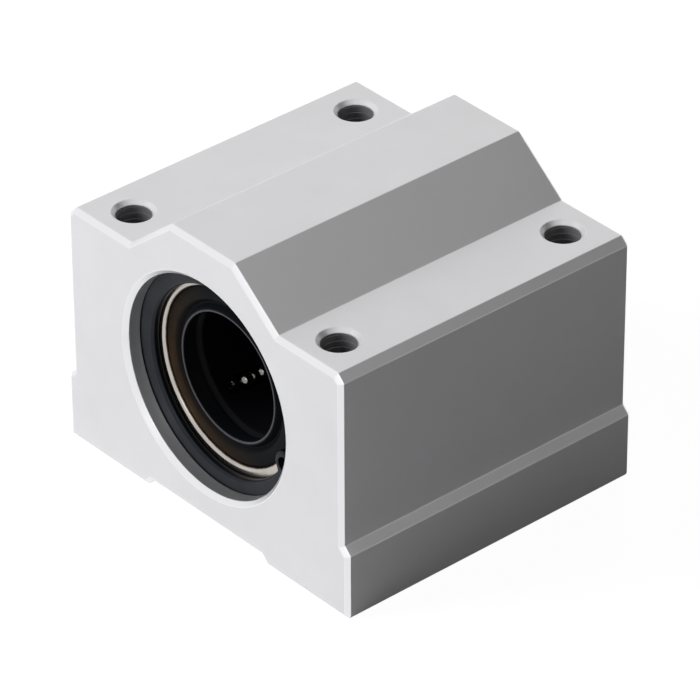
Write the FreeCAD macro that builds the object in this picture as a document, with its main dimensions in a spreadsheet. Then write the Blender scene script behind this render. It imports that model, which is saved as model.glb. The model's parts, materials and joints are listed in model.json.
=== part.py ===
import FreeCAD, Part
import itertools
import math
import os
import Sketcher
from FreeCAD import Placement, Rotation, Vector

# Linear bearing block: a machined aluminium housing with a sealed linear ball bearing in its bore.
# Frame: +X right, +Y along the bore to the rear, +Z up. The origin is the centre of the base.
# Lengths are in millimetres.

os.makedirs("parts", exist_ok=True)
doc = FreeCAD.newDocument("linear_bearing_block")

# Driving sizes: name, value, what it measures.
SIZES = [
    ("block_width", 50.0, "width over the two foot lips"),
    ("block_length", 44.0, "length along the bore"),
    ("block_height", 38.5, "base to the top of the hump"),
    ("shoulder_height", 32.5, "base to the screw shoulders"),
    ("axis_height", 19.0, "base to the centre of the bore"),
    ("lip_height", 8.65, "base to the top corner of a foot lip"),
    ("lip_depth", 1.0, "how far a foot lip stands out"),
    ("hump_inset", 12.0, "side of the block to the foot of the hump"),
    ("hump_slope_width", 7.5, "width of one slope of the hump"),
    ("shoulder_chamfer", 1.0, "chamfer along each outer shoulder edge"),
    ("foot_width", 14.1, "width of one foot strip, beside the relief groove"),
    ("foot_relief", 1.0, "depth of the relief groove in the base"),
    ("edge_break", 0.5, "chamfer round both end faces"),
    ("foot_break", 0.3, "chamfer along the two lower edges"),
    ("screw_side_inset", 7.0, "side of the block to a screw's centre"),
    ("screw_end_inset", 5.0, "end of the block to a screw's centre"),
    ("screw_hole_dia", 4.3, "screw hole, tapped from above, free below"),
    ("screw_countersink", 0.5, "width of the countersink round a screw hole"),
    ("bore_dia", 28.0, "housing bore"),
    ("bore_mouth", 0.55, "chamfer at each mouth of the bore"),
    ("ring_depth", 2.3, "end of the block to a retaining ring"),
    ("ring_thickness", 1.2, "thickness of a retaining ring"),
    ("ring_side_play", 0.05, "gap on each side of a retaining ring in its groove"),
    ("ring_play", 0.06, "gap round a retaining ring in its groove"),
    ("ring_seat_depth", 0.7, "depth of a ring groove in the bore"),
    ("ring_stand", 1.9, "how far a retaining ring stands into the bore"),
    ("ring_offset", 0.3, "how far its inside is off centre, towards the gap"),
    ("ring_gap", 4.4, "gap between the two ears"),
    ("ring_turn", 9.0, "degrees that the ring gap lies below the horizontal"),
    ("ear_spacing", 7.6, "centre distance of the two ear holes"),
    ("ear_stand", 1.9, "how far the line of ear holes stands into the bore"),
    ("ear_dia", 3.4, "round end of an ear"),
    ("ear_hole_dia", 1.9, "plier hole in an ear"),
    ("ear_fillet", 0.8, "fillet between an ear and the ring"),
    ("shaft_dia", 16.0, "shaft that the bearing runs on"),
    ("sleeve_play", 0.01, "radial gap between sleeve and housing"),
    ("ball_dia", 2.381, "ball size"),
    ("ball_spacing", 0.2, "least gap between two balls along the circuit"),
    ("ball_play", 0.02, "gap between shaft and loaded balls"),
    ("race_play", 0.01, "gap between loaded balls and raceway"),
    ("race_inset", 1.4, "end of a circuit's straight to the end of the raceway"),
    ("return_rise", 0.75, "how much further out the balls return"),
    ("return_play", 0.05, "gap round a returning ball in the sleeve"),
    ("circuits", 5, "ball circuits round the shaft"),
    ("circuit_radius", 1.9, "radius of a circuit's turns"),
    ("circuit_turn", 17.6, "degrees that the first circuit is turned round the bore"),
    ("climb_inset", 0.6, "end of a circuit's straight to where the balls start to rise"),
    ("climb_length", 2.1, "path length over which they rise"),
    ("track_play", 0.06, "gap beside and below the balls in the cage"),
    ("slot_play", 0.01, "gap round a ball where it comes through the cage"),
    ("slot_reach", 1.7, "how far a slot runs past the circuit's straight"),
    ("cage_inset", 2.6, "end of the sleeve to the end of the cage"),
    ("cage_end_wall", 0.75, "wall between the end of the cage and a turning ball"),
    ("cage_shaft_gap", 0.3, "gap between shaft and cage"),
    ("cage_lead_in", 0.8, "chamfer at each mouth of the cage"),
    ("cage_play", 0.06, "radial gap between cage and sleeve"),
    ("collar_gap", 0.2, "gap between the end of the raceway and a collar of the cage"),
    ("seal_gap", 0.1, "gap between cage and seal"),
    ("seal_play", 0.01, "radial gap of a seal in the sleeve"),
    ("seal_recess", 0.2, "how far a seal lies inside the sleeve"),
    ("seal_rim", 1.6, "width of the flat face of a seal"),
    ("seal_lip_play", 0.05, "gap between shaft and seal lip"),
    ("seal_lip_width", 0.5, "width of the lip's running face"),
    ("seal_lip_wall", 0.35, "wall of the lip at its edge"),
    ("seal_back_gap", 0.5, "gap between shaft and seal where it faces the cage"),
    ("seal_valley_gap", 0.95, "shaft to the bottom of the groove behind the lip"),
    ("seal_valley_depth", 0.9, "depth of the groove behind the lip"),
]

# Sizes worked out from the driving ones: name, formula.
DERIVED = [
    ("side_x", "block_width / 2 - lip_depth"),
    ("end_y", "block_length / 2"),
    ("hump_foot_x", "block_width / 2 - hump_inset"),
    ("relief_x", "block_width / 2 - foot_width"),
    ("screw_x", "block_width / 2 - screw_side_inset"),
    ("screw_y", "end_y - screw_end_inset"),
    ("bore_radius", "bore_dia / 2"),
    ("ring_seat_radius", "bore_radius + ring_seat_depth"),
    ("ring_outer_radius", "ring_seat_radius - ring_play"),
    ("ring_inner_radius", "bore_radius - ring_stand"),
    ("ear_reach", "bore_radius - ear_stand"),
    ("sleeve_end", "end_y - ring_depth - ring_thickness"),
    ("sleeve_radius", "bore_radius - sleeve_play"),
    ("shaft_radius", "shaft_dia / 2"),
    ("ball_radius", "ball_dia / 2"),
    ("loaded_radius", "shaft_radius + ball_play + ball_radius"),
    ("return_radius", "loaded_radius + return_rise"),
    ("raceway_radius", "loaded_radius + ball_radius + race_play"),
    ("relief_radius", "return_radius + ball_radius + return_play + race_play"),
    ("loaded_height", "sqrt(loaded_radius ^ 2 - circuit_radius ^ 2)"),
    ("return_height", "sqrt(return_radius ^ 2 - circuit_radius ^ 2)"),
    ("track_floor", "return_height - ball_radius - track_play"),
    ("track_half", "ball_radius + track_play"),
    ("slot_half", "sqrt(ball_radius ^ 2 - (loaded_height - track_floor) ^ 2) + slot_play"),
    ("cage_end", "sleeve_end - cage_inset"),
    ("cage_bore_radius", "shaft_radius + cage_shaft_gap"),
    ("cage_radius", "raceway_radius - cage_play"),
    ("collar_radius", "relief_radius - cage_play"),
    ("straight_end", "cage_end - cage_end_wall - track_half - circuit_radius"),
    ("raceway_end", "straight_end - race_inset"),
    ("climb_start", "straight_end - climb_inset"),
    ("seal_radius", "relief_radius - seal_play"),
    ("seal_start", "cage_end + seal_gap"),
    ("seal_end", "sleeve_end - seal_recess"),
    ("lip_radius", "shaft_radius + seal_lip_play"),
]


# The sheet of sizes.
sheet = doc.addObject("Spreadsheet::Sheet", "Sizes")
for row, (name, value, meaning) in enumerate(SIZES, start=1):
    sheet.set(f"A{row}", meaning)
    sheet.set(f"B{row}", str(value))
    sheet.setAlias(f"B{row}", name)
for row, (name, formula) in enumerate(DERIVED, start=len(SIZES) + 1):
    sheet.set(f"A{row}", name.replace("_", " "))
    sheet.set(f"B{row}", "=" + formula)
    sheet.setAlias(f"B{row}", name)
doc.recompute()


def size(name):
    """The value of one named size."""
    return float(sheet.get(name))


def value_of(formula):
    """The value of a formula in the sheet's names."""
    return float(sheet.evalExpression(bound(formula)))


def bound(formula):
    """The formula with each size name pointing at the sheet."""
    out, word = "", ""
    for letter in formula + " ":
        if letter.isalnum() or letter == "_":
            word += letter
            continue
        out += f"Sizes.{word}" if word in NAMES else word
        out += letter
        word = ""
    return out.strip()


NAMES = {row[0] for row in SIZES} | {row[0] for row in DERIVED}


# Helpers for bodies, planes and sketches.
def new_body(label):
    """An empty body centred on the bearing axis."""
    body = doc.addObject("PartDesign::Body", label)
    body.Label = label
    return body


def origin_feature(body, role):
    """One of the body's own origin planes or axes, found by its role."""
    return next(f for f in body.Origin.OriginFeatures if f.Role == role)


def new_sketch(body, name, role, offset="0"):
    """A sketch on an origin plane of the body, shifted along the plane's normal."""
    sketch = body.newObject("Sketcher::SketchObject", name)
    sketch.AttachmentSupport = [(origin_feature(body, role), "")]
    sketch.MapMode = "FlatFace"
    if offset != "0":
        sketch.setExpression("AttachmentOffset.Base.z", bound(offset))
    return sketch


def fix_point(sketch, geometry, end, x, y):
    """Tie one point of the sketch to formulas for its two coordinates."""
    for axis, formula in (("X", x), ("Y", y)):
        if formula == "0":
            line = -2 if axis == "X" else -1
            sketch.addConstraint(Sketcher.Constraint("PointOnObject", geometry, end, line))
            continue
        rule = Sketcher.Constraint("Distance" + axis, -1, 1, geometry, end, value_of(formula))
        index = sketch.addConstraint(rule)
        sketch.setExpression(f"Constraints[{index}]", bound(formula))


def add_outline(sketch, points):
    """A closed outline of straight lines through points given as pairs of formulas."""
    spots = [Vector(value_of(x), value_of(y), 0) for x, y in points]
    lines = []
    for here, there in zip(spots, spots[1:] + spots[:1]):
        lines.append(sketch.addGeometry(Part.LineSegment(here, there), False))
    for line, after in zip(lines, lines[1:] + lines[:1]):
        sketch.addConstraint(Sketcher.Constraint("Coincident", line, 2, after, 1))
    for line, (x, y) in zip(lines, points):
        fix_point(sketch, line, 1, x, y)


def rectangle(left, right, low, high):
    """The corners of a rectangle from formulas for its four sides."""
    return [(left, low), (right, low), (right, high), (left, high)]


def add_circle(sketch, x, y, diameter):
    """A circle with its centre and diameter given by formulas."""
    centre = Vector(value_of(x), value_of(y), 0)
    shape = Part.Circle(centre, Vector(0, 0, 1), value_of(diameter) / 2)
    circle = sketch.addGeometry(shape, False)
    fix_point(sketch, circle, 3, x, y)
    index = sketch.addConstraint(Sketcher.Constraint("Diameter", circle, value_of(diameter)))
    sketch.setExpression(f"Constraints[{index}]", bound(diameter))


def add_slot(sketch, x, half_length, half_width):
    """A slot along the sketch's vertical, centred at x, with half an octagon at each end."""
    corner = f"({half_width}) * (sqrt(2) - 1)"
    right = [
        (half_width, f"{half_length} + {corner}"),
        (corner, f"{half_length} + {half_width}"),
    ]
    upper = right + [(f"-({across})", along) for across, along in reversed(right)]
    lower = [(across, f"-({along})") for across, along in reversed(upper)]
    add_outline(sketch, [(f"{x} + {across}", along) for across, along in upper + lower])


def mirrored(half):
    """An outline in radius and length, closed by its own mirror image across mid-length."""
    return half + [(radius, f"-({along})") for radius, along in reversed(half)]


def turned(body, name, points):
    """Turn an outline of radius and length about the bore's direction."""
    sketch = new_sketch(body, name + "_outline", "XY_Plane")
    add_outline(sketch, points)
    part = body.newObject("PartDesign::Revolution", name)
    part.Profile = sketch
    part.ReferenceAxis = (sketch, ["V_Axis"])
    part.Angle = 360.0
    return part


def extruded(body, kind, name, sketch, length, midplane=False, backwards=False):
    """Pad or pocket a sketch by a length formula."""
    part = body.newObject(f"PartDesign::{kind}", name)
    part.Profile = sketch
    part.setExpression("Length", bound(length))
    part.Midplane = midplane
    part.Reversed = backwards
    return part


def round_the_bore(body, name, features):
    """Repeat features once for each ball circuit."""
    ring = body.newObject("PartDesign::PolarPattern", name)
    ring.Originals = features
    ring.Axis = (origin_feature(body, "Y_Axis"), [""])
    ring.Angle = 360.0
    ring.setExpression("Occurrences", bound("circuits"))
    body.Tip = ring
    return ring


def edges_where(part, wanted):
    """Names of the edges of a feature that pass a test."""
    edges = part.Shape.Edges
    return [f"Edge{index}" for index, edge in enumerate(edges, start=1) if wanted(edge)]


def near(a, b):
    """Whether two lengths agree to a thousandth."""
    return abs(a - b) < 1e-3


def chamfered(body, name, base, wanted, formula):
    """Chamfer the edges of a feature that pass a test."""
    part = body.newObject("PartDesign::Chamfer", name)
    part.Base = (base, edges_where(base, wanted))
    part.setExpression("Size", bound(formula))
    return part


def place(body, along="0", turn=0.0, axis=Vector(0, 1, 0)):
    """Put a body on the bearing axis, moved along it and turned by an angle in degrees."""
    body.Placement = Placement(Vector(0, 0, 0), Rotation(axis, turn))
    body.setExpression("Placement.Base.y", bound(along))
    body.setExpression("Placement.Base.z", bound("axis_height"))


# The pieces.
def housing_block():
    """The machined block: base with foot lips, shoulders for the screws, hump over the bore."""
    body = new_body("housing_block")
    half_profile = [
        ("relief_x - foot_relief", "foot_relief"),
        ("relief_x", "0"),
        ("block_width / 2 - foot_break", "0"),
        ("block_width / 2", "foot_break"),
        ("block_width / 2", "lip_height"),
        ("side_x", "lip_height + lip_depth"),
        ("side_x", "shoulder_height - shoulder_chamfer"),
        ("side_x - shoulder_chamfer", "shoulder_height"),
        ("hump_foot_x", "shoulder_height"),
        ("hump_foot_x - hump_slope_width", "block_height"),
    ]
    other_half = [(f"-({x})", z) for x, z in reversed(half_profile)]
    section = new_sketch(body, "block_section", "XZ_Plane")
    add_outline(section, half_profile + other_half)
    block = extruded(body, "Pad", "block", section, "block_length", midplane=True)
    doc.recompute()

    def on_end_face(edge):
        box = edge.BoundBox
        return near(box.YLength, 0) and near(abs(box.YMin), size("end_y"))

    broken = chamfered(body, "end_face_edges", block, on_end_face, "edge_break")
    doc.recompute()
    solid_volume = broken.Shape.Volume

    mouth_radius = "bore_radius + bore_mouth"
    seat_outer = "sleeve_end + ring_thickness + ring_side_play"
    seat_inner = "sleeve_end - ring_side_play"
    bore_half = [
        ("0", "end_y"),
        (mouth_radius, "end_y"),
        ("bore_radius", "end_y - bore_mouth"),
        ("bore_radius", seat_outer),
        ("ring_seat_radius", seat_outer),
        ("ring_seat_radius", seat_inner),
        ("bore_radius", seat_inner),
    ]
    bore_sketch = new_sketch(body, "bore_section", "XY_Plane", "axis_height")
    add_outline(bore_sketch, mirrored(bore_half))
    bore = body.newObject("PartDesign::Groove", "bore")
    bore.Profile = bore_sketch
    bore.ReferenceAxis = (bore_sketch, ["V_Axis"])
    bore.Angle = 360.0
    doc.recompute()
    cylinder = math.pi * size("bore_radius") ** 2 * size("block_length")
    if bore.Shape.Volume > solid_volume - cylinder:
        raise ValueError("the bore removed too little")

    screw_sketch = new_sketch(body, "screw_circles", "XY_Plane", "shoulder_height")
    for x, y in itertools.product(("screw_x", "-screw_x"), ("screw_y", "-screw_y")):
        add_circle(screw_sketch, x, y, "screw_hole_dia")
    holes = extruded(body, "Pocket", "screw_holes", screw_sketch, "shoulder_height")
    doc.recompute()

    def at_screw_mouth(edge):
        box = edge.BoundBox
        flat = near(box.ZMin, size("shoulder_height")) and near(box.ZLength, 0)
        return flat and near(box.XLength, size("screw_hole_dia"))

    chamfered(body, "screw_mouths", holes, at_screw_mouth, "screw_countersink")
    return body


def retaining_ring(label, along, turn):
    """An internal spring ring with two ears, lying in a groove of the housing bore."""
    body = new_body(label)
    ring_sketch = new_sketch(body, "ring_outline", "XZ_Plane")
    add_circle(ring_sketch, "0", "0", "2 * ring_outer_radius")
    add_circle(ring_sketch, "ring_offset", "0", "2 * ring_inner_radius")
    extruded(body, "Pad", "ring", ring_sketch, "ring_thickness", midplane=True)

    ear_lines = ("ear_spacing / 2", "-ear_spacing / 2")
    end_sketch = new_sketch(body, "ear_end_outline", "XZ_Plane")
    for z in ear_lines:
        add_circle(end_sketch, "ear_reach", z, "ear_dia")
    extruded(body, "Pad", "ear_ends", end_sketch, "ring_thickness", midplane=True)
    root_sketch = new_sketch(body, "ear_root_outline", "XZ_Plane")
    root = "ring_inner_radius + 2 * ring_offset"
    for z in ear_lines:
        low, high = f"{z} - ear_dia / 2", f"{z} + ear_dia / 2"
        add_outline(root_sketch, rectangle("ear_reach", root, low, high))
    extruded(body, "Pad", "ear_roots", root_sketch, "ring_thickness", midplane=True)

    cut_sketch = new_sketch(body, "gap_outline", "XZ_Plane")
    beyond = "ring_outer_radius + ring_gap"
    gap = rectangle("ear_reach - ear_dia", beyond, "-ring_gap / 2", "ring_gap / 2")
    add_outline(cut_sketch, gap)
    for z in ear_lines:
        add_circle(cut_sketch, "ear_reach", z, "ear_hole_dia")
    cut = extruded(
        body, "Pocket", "gap_and_holes", cut_sketch, "2 * ring_thickness", midplane=True
    )
    doc.recompute()

    side = (size("ear_spacing") + size("ear_dia")) / 2
    inside = size("ring_offset") + math.sqrt(size("ring_inner_radius") ** 2 - side**2)

    def runs_through(edge):
        return near(edge.BoundBox.XLength, 0) and near(edge.BoundBox.ZLength, 0)

    def distance_from(spot):
        return lambda name: (cut.Shape.getElement(name).CenterOfMass - spot).Length

    through = edges_where(cut, runs_through)
    roots = [min(through, key=distance_from(Vector(inside, 0, z))) for z in (side, -side)]
    corners = body.newObject("PartDesign::Fillet", "ear_fillets")
    corners.Base = (cut, roots)
    corners.setExpression("Radius", bound("ear_fillet"))
    place(body, along, turn)
    return body


def bearing_sleeve():
    """The hardened sleeve: a raceway, relief at both ends, and a channel for each return."""
    body = new_body("bearing_sleeve")
    half = [
        ("raceway_radius", "raceway_end"),
        ("relief_radius", "raceway_end"),
        ("relief_radius", "sleeve_end"),
        ("sleeve_radius", "sleeve_end"),
    ]
    turned(body, "sleeve", mirrored(half))
    channel_sketch = new_sketch(body, "return_channel_outline", "XZ_Plane")
    add_circle(channel_sketch, "circuit_radius", "return_height", "2 * (ball_radius + return_play)")
    channel = extruded(
        body, "Pocket", "return_channel", channel_sketch, "2 * sleeve_end", midplane=True
    )
    doc.recompute()
    round_the_bore(body, "return_channels", [channel])
    place(body, turn=size("circuit_turn"))
    return body


def ball_cage():
    """The moulded cage: one track for each ball circuit, open over the loaded balls."""
    body = new_body("ball_cage")
    half = [
        ("cage_radius", "raceway_end + collar_gap"),
        ("collar_radius", "raceway_end + collar_gap"),
        ("collar_radius", "cage_end"),
        ("cage_bore_radius + cage_lead_in", "cage_end"),
        ("cage_bore_radius", "cage_end - cage_lead_in"),
    ]
    turned(body, "cage", mirrored(half))
    doc.recompute()

    track_sketch = new_sketch(body, "track_outline", "XY_Plane", "track_floor")
    add_slot(track_sketch, "0", "straight_end", "circuit_radius + track_half")
    add_slot(track_sketch, "0", "straight_end", "circuit_radius - track_half")
    track = extruded(
        body, "Pocket", "track", track_sketch, "collar_radius", backwards=True
    )
    slot_sketch = new_sketch(body, "slot_outline", "XY_Plane", "track_floor")
    add_slot(slot_sketch, "-circuit_radius", "straight_end + slot_reach - slot_half", "slot_half")
    slot = extruded(body, "Pocket", "slot", slot_sketch, "track_floor")
    doc.recompute()
    round_the_bore(body, "tracks", [track, slot])
    place(body, turn=size("circuit_turn"))
    return body


def shaft_seal(label, turn):
    """The seal: a ring in the sleeve that holds the cage, with a lip towards the shaft."""
    body = new_body(label)
    section = [
        ("shaft_radius + seal_back_gap", "seal_start"),
        ("seal_radius", "seal_start"),
        ("seal_radius", "seal_end"),
        ("seal_radius - seal_rim", "seal_end"),
        ("shaft_radius + seal_valley_gap", "seal_end - seal_valley_depth"),
        ("lip_radius + seal_lip_wall", "sleeve_end"),
        ("lip_radius", "sleeve_end"),
        ("lip_radius", "sleeve_end - seal_lip_width"),
    ]
    turned(body, "seal", section)
    place(body, turn=turn, axis=Vector(0, 0, 1))
    return body


# The balls are many, so each is a solid of 20 flat faces with its corners on the sphere.
def ball_solid(radius):
    """A small icosahedron that fits inside a ball of the given radius."""
    golden = (1 + math.sqrt(5)) / 2
    corners = []
    for a in (-1, 1):
        for b in (-golden, golden):
            corners += [Vector(0, a, b), Vector(a, b, 0), Vector(b, 0, a)]
    edge = 2 * abs(corners[0].y)
    faces = []
    for first, second, third in itertools.combinations(corners, 3):
        sides = (second - first, third - second, first - third)
        if all(near(side.Length, edge) for side in sides):
            faces.append(Part.Face(Part.makePolygon([first, second, third, first])))
    solid = Part.Solid(Part.Shell(faces))
    solid.scale(radius / corners[0].Length)
    return solid if solid.Volume > 0 else solid.reversed()


def way_round():
    """The length of one circuit: two straights and two half turns."""
    return 4 * size("straight_end") + 2 * math.pi * size("circuit_radius")


def on_circuit(path):
    """Where a ball stands on the unrolled circuit, as its distance across and along."""
    half, radius = size("straight_end"), size("circuit_radius")
    turn = math.pi * radius
    if path < 2 * half:
        return -radius, path - half
    path -= 2 * half
    if path < turn:
        return -radius * math.cos(path / radius), half + radius * math.sin(path / radius)
    path -= turn
    if path < 2 * half:
        return radius, half - path
    path -= 2 * half
    return radius * math.cos(path / radius), -half - radius * math.sin(path / radius)


def rise_at(path):
    """How far a ball has risen from the raceway to the return, from 0 to 1."""
    half_way = way_round() / 2
    from_middle = abs((path - size("straight_end") + half_way) % way_round() - half_way)
    part = (from_middle - size("climb_start")) / size("climb_length")
    part = min(max(part, 0), 1)
    return part * part * (3 - 2 * part)


def circuit_balls(number):
    """The balls of one circuit: those on the raceway's straight, and those returning."""
    half = size("straight_end")
    count = math.floor(way_round() / (size("ball_dia") + size("ball_spacing")))
    pitch = way_round() / count
    first = half - pitch * math.floor(half / pitch)
    turn = Rotation(Vector(0, 1, 0), 360 / size("circuits") * number + size("circuit_turn"))
    frame = Placement(Vector(0, 0, size("axis_height")), turn)
    ball = ball_solid(size("ball_radius"))
    loaded, returning = [], []
    for step in range(count):
        path = first + pitch * step
        across, along = on_circuit(path)
        radius = size("loaded_radius") + size("return_rise") * rise_at(path)
        spot = Vector(across, along, math.sqrt(radius**2 - across**2))
        copy = ball.copy()
        copy.Placement = frame * Placement(spot, Rotation())
        (loaded if path < 2 * half else returning).append(copy)
    return loaded, returning


def ball_group(label, balls):
    """One node that holds several separate balls."""
    group = doc.addObject("Part::Feature", label)
    group.Label = label
    group.Shape = Part.makeCompound(balls)
    return group


pieces = [
    housing_block(),
    retaining_ring("front_retaining_ring", "-(sleeve_end + ring_thickness / 2)", size("ring_turn")),
    retaining_ring("rear_retaining_ring", "sleeve_end + ring_thickness / 2", 180 - size("ring_turn")),
    bearing_sleeve(),
    ball_cage(),
    shaft_seal("front_seal", 180),
    shaft_seal("rear_seal", 0),
]
for circuit in range(round(size("circuits"))):
    on_raceway, on_return = circuit_balls(circuit)
    pieces.append(ball_group(f"loaded_balls_{circuit + 1}", on_raceway))
    pieces.append(ball_group(f"return_balls_{circuit + 1}", on_return))
doc.recompute()

# Every object is sound before anything is written.
for item in doc.Objects:
    if "Invalid" in item.State or "Error" in item.State:
        raise ValueError(f"{item.Label} failed: {item.State}")
for piece in pieces:
    if piece.Shape.isNull() or not piece.Shape.isValid():
        raise ValueError(f"{piece.Label} has no valid shape")
for piece in pieces:
    piece.Shape.exportStep(f"parts/{piece.Label}.step")
    print(f"{piece.Label}: {len(piece.Shape.Solids)} solids, {piece.Shape.Volume:.1f} mm3")
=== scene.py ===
"""The looks of a linear bearing block: an aluminium housing round a sealed ball bearing."""

import json
import math

import bmesh
import bpy
from bpy.props import FloatProperty, FloatVectorProperty, IntProperty, PointerProperty
from bpy.types import Operator, Panel, PropertyGroup
from mathutils import Matrix, Quaternion, Vector


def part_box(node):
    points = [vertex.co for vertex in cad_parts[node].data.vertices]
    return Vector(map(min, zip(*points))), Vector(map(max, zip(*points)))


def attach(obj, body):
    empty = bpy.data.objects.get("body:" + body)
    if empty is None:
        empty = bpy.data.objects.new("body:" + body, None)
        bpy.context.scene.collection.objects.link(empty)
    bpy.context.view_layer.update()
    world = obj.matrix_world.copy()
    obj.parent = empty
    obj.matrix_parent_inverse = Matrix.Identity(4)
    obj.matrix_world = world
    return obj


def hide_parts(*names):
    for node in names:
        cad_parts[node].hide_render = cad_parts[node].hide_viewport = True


bl_info = {
    "name": "Linear bearing block",
    "version": (1, 0, 0),
    "blender": (4, 5, 0),
    "location": "3D View > Sidebar > Bearing Block",
    "description": "Dresses a packed linear bearing block with edges, seals, balls and finishes",
    "category": "Object",
}

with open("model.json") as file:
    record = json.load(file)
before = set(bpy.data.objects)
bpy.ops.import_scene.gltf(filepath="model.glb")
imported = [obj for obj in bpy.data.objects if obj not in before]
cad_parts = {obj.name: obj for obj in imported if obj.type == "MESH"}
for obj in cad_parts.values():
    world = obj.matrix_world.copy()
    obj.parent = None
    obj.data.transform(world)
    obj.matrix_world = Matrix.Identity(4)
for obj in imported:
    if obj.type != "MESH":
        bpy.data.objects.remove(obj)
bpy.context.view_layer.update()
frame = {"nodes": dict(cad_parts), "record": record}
MM = 0.001
ROOT = "root"
MOUNTS = {mount["name"]: mount for mount in frame["record"]["mounts"]}

# The bearing's axis, and how far out and along from its middle the four screw holes are.
BEARING_CENTRE = Vector(MOUNTS["shaft_bore"]["pos_m"])
BORE_DIRECTION = Vector(MOUNTS["shaft_bore"]["axis"])
SCREWS = MOUNTS["top_screws"]["dims"]
SCREW_X_MM = SCREWS["spacing_x_mm"] / 2
SCREW_Y_MM = SCREWS["spacing_y_mm"] / 2
SCREW_HOLE_RADIUS = SCREWS["hole_r_mm"] * MM

# Corners nearer to each other than this are one corner.
SAME_CORNER = 0.001 * MM
# An edge that is shorter than this would fold over when its neighbours are rounded.
SHORTEST_EDGE = 0.02 * MM
# Neighbouring faces that turn less than this are one flat face.
FLAT = math.radians(0.5)
# An edge is rounded where its faces turn more than this.
CORNERED = math.radians(20)
# An edge that is left as it is shades sharp where its faces turn more than this.
SHARP = math.radians(35)

# A wave texture at scale 1 has about this many waves in each unit of length.
WAVES = 3.2
ALUMINIUM = "clear anodised aluminium"


# Helpers for meshes.
def from_axis(spot):
    """How far a point is from the bearing's axis."""
    return (spot - BEARING_CENTRE).xz.length


def piece_from(mesh, material):
    """A new object in the scene that shows a mesh in one material."""
    piece = bpy.data.objects.new(mesh.name, mesh)
    bpy.context.scene.collection.objects.link(piece)
    mesh.materials.clear()
    mesh.materials.append(material)
    return piece


def merged_copy(node_name, piece_name, cuts=()):
    """A CAD node's mesh as one closed shell with whole flat faces.

    Each cut is a point and a normal: a plane that parts the faces where they have a hole.
    """
    source = frame["nodes"][node_name].data
    corners = [vertex.co for vertex in source.vertices]
    faces = [tuple(polygon.vertices) for polygon in source.polygons]
    mesh = bpy.data.meshes.new(piece_name)
    mesh.from_pydata(corners, [], faces)
    shell = bmesh.new()
    shell.from_mesh(mesh)
    bmesh.ops.remove_doubles(shell, verts=shell.verts, dist=SAME_CORNER)
    for point, normal in cuts:
        parted = bmesh.ops.bisect_plane(
            shell,
            geom=shell.verts[:] + shell.edges[:] + shell.faces[:],
            dist=SAME_CORNER,
            plane_co=point,
            plane_no=normal,
        )
        for element in parted["geom_cut"]:
            if isinstance(element, bmesh.types.BMEdge):
                element.seam = True
    bmesh.ops.dissolve_limit(
        shell, angle_limit=FLAT, verts=shell.verts, edges=shell.edges, delimit={"SEAM"}
    )
    bmesh.ops.remove_doubles(shell, verts=shell.verts, dist=SHORTEST_EDGE)
    bmesh.ops.recalc_face_normals(shell, faces=shell.faces)
    shell.to_mesh(mesh)
    shell.free()
    mesh.shade_smooth()
    return mesh


def settle(piece):
    """Make the result of a piece's modifiers its mesh."""
    graph = bpy.context.evaluated_depsgraph_get()
    done = piece.evaluated_get(graph)
    mesh = bpy.data.meshes.new_from_object(done, preserve_all_data_layers=True, depsgraph=graph)
    mesh.name = piece.name
    piece.modifiers.clear()
    piece.data = mesh


def round_edges(piece, width, segments=2, weight=None):
    """Round the edges of a piece, all alike or each by its own weight from 0 to 1."""
    mesh = piece.data
    bevel = piece.modifiers.new("edges", "BEVEL")
    bevel.width = width
    bevel.segments = segments
    bevel.use_clamp_overlap = False
    bevel.harden_normals = True
    bevel.angle_limit = CORNERED
    if weight:
        bevel.limit_method = "WEIGHT"
        shell = bmesh.new()
        shell.from_mesh(mesh)
        weights = [
            weight(edge) if edge.calc_face_angle(0) > CORNERED else 0.0 for edge in shell.edges
        ]
        shell.free()
        layer = mesh.attributes.new("bevel_weight_edge", "FLOAT", "EDGE")
        layer.data.foreach_set("value", weights)
    mesh.set_sharp_from_angle(angle=SHARP)
    settle(piece)


def dress(piece, slot_name, *nodes):
    """Put a piece on the body, in place of the CAD nodes that it stands for."""
    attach(piece, ROOT)
    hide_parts(*nodes)


def rounded(corners, steps=4):
    """A section of (radius, along, fillet) corners as points, with each corner rounded."""
    points = []
    for before, here, after in zip(corners[-1:] + corners, corners, corners[1:] + corners[:1]):
        corner = Vector(here[:2])
        fillet = here[2]
        back = (Vector(before[:2]) - corner).normalized()
        ahead = (Vector(after[:2]) - corner).normalized()
        half = back.angle(ahead) / 2
        reach = fillet / math.tan(half)
        centre = corner + (back + ahead).normalized() * (fillet / math.sin(half))
        start = corner + back * reach - centre
        end = corner + ahead * reach - centre
        sweep = start.angle_signed(end)
        for step in range(steps + 1):
            turn = Matrix.Rotation(-sweep * step / steps, 2)
            points.append(centre + turn @ start)
    return points


def lathed(name, section, side, count=192):
    """A ring turned about the bore from a section in millimetres, on the -1 or +1 side."""
    shell = bmesh.new()
    rings = []
    for step in range(count):
        angle = 2 * math.pi * step / count
        outward = Vector((math.cos(angle), 0, math.sin(angle)))
        spots = [
            BEARING_CENTRE + outward * radius * MM + BORE_DIRECTION * (side * along * MM)
            for radius, along in section
        ]
        rings.append([shell.verts.new(spot) for spot in spots])
    for ring, following in zip(rings, rings[1:] + rings[:1]):
        for here in range(len(section)):
            there = (here + 1) % len(section)
            shell.faces.new((ring[here], ring[there], following[there], following[here]))
    bmesh.ops.recalc_face_normals(shell, faces=shell.faces)
    mesh = bpy.data.meshes.new(name)
    shell.to_mesh(mesh)
    shell.free()
    mesh.shade_smooth()
    return mesh


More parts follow.
